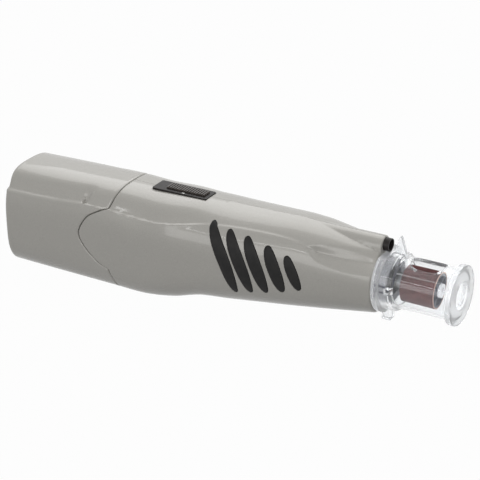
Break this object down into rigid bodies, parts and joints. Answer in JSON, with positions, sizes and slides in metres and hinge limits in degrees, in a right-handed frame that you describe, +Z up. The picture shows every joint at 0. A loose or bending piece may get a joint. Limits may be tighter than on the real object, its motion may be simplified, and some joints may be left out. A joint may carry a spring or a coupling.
{
  "type": "pet nail grinder",
  "caption": "Cordless rotary pet nail trimmer: silver battery handle with dark leaf grips and top slide switch, small sanding drum turning inside a clear tubular guard.",
  "frame": {"origin": "centre of the bounding box in X and Y, on the flat underside the tool rests on", "axes": "+X along the tool towards the clear guard, +Z up through the switch, +Y towards the left housing"},
  "size_m": [0.1836, 0.0362, 0.0423],
  "materials": {
    "silver_paint": "gloss",
    "black_rubber": "matte",
    "black_plastic": "satin",
    "clear_plastic": "gloss",
    "steel": "satin",
    "brass": "satin",
    "board": "satin",
    "cell_jacket": "gloss",
    "drum_rubber": "matte",
    "sanding_cloth": "matte",
    "wire_cover": "gloss",
    "lamp_lens": "gloss",
    "magnet": "matte",
    "tray_plastic": "matte"
  },
  "bodies": {
    "housing": {"battery_1": "cell_jacket", "battery_2": "cell_jacket", "battery_3": "cell_jacket", "battery_4": "cell_jacket", "battery_leads": "wire_cover", "battery_tray": "tray_plastic", "board_parts": "black_plastic", "circuit_board": "board", "contact_springs": "steel", "front_bush": "brass", "front_contacts": "steel", "housing_screws": "steel", "lamp": "lamp_lens", "lamp_holder": "black_plastic", "lamp_leads": "steel", "left_grip_1": "black_rubber", "left_grip_2": "black_rubber", "left_grip_3": "black_rubber", "left_grip_4": "black_rubber", "left_grip_5": "black_rubber", "left_housing": "silver_paint", "motor_bush": "brass", "motor_can": "steel", "motor_end_cap": "black_plastic", "motor_leads": "wire_cover", "motor_magnets": "magnet", "motor_terminals": "steel", "nose_boss": "black_plastic", "rear_contacts": "steel", "right_grip_1": "black_rubber", "right_grip_2": "black_rubber", "right_grip_3": "black_rubber", "right_grip_4": "black_rubber", "right_grip_5": "black_rubber", "right_housing": "silver_paint", "slide_switch": "black_plastic", "switch_bezel": "black_plastic"},
    "battery_cap": {"battery_cap": "silver_paint"},
    "switch": {"switch_slider": "black_plastic", "switch_carriage": "black_plastic", "switch_lever": "black_plastic"},
    "spindle_group": {"motor_rotor": "steel", "motor_shaft": "steel", "shaft_coupling": "steel", "spindle": "steel", "collet_nut": "steel", "mandrel": "steel", "drum_core": "drum_rubber", "sanding_band": "sanding_cloth", "drum_screw": "steel"},
    "nail_guard": {"nail_guard": "clear_plastic"}
  },
  "joints": [
    {"name": "cap_slide", "type": "slide", "parent": "housing", "child": "battery_cap", "axis": [-1, 0, 0], "range_m": [0, 0.06]},
    {"name": "switch_slide", "type": "slide", "parent": "housing", "child": "switch", "axis": [-1, 0, 0], "range_m": [0, 0.004]},
    {"name": "spindle_spin", "type": "hinge", "parent": "housing", "child": "spindle_group", "pos_m": [0.05965, 0, 0.025], "axis": [1, 0, 0], "continuous": true},
    {"name": "guard_slide", "type": "slide", "parent": "housing", "child": "nail_guard", "axis": [1, 0, 0], "range_m": [0, 0.03]}
  ]
}
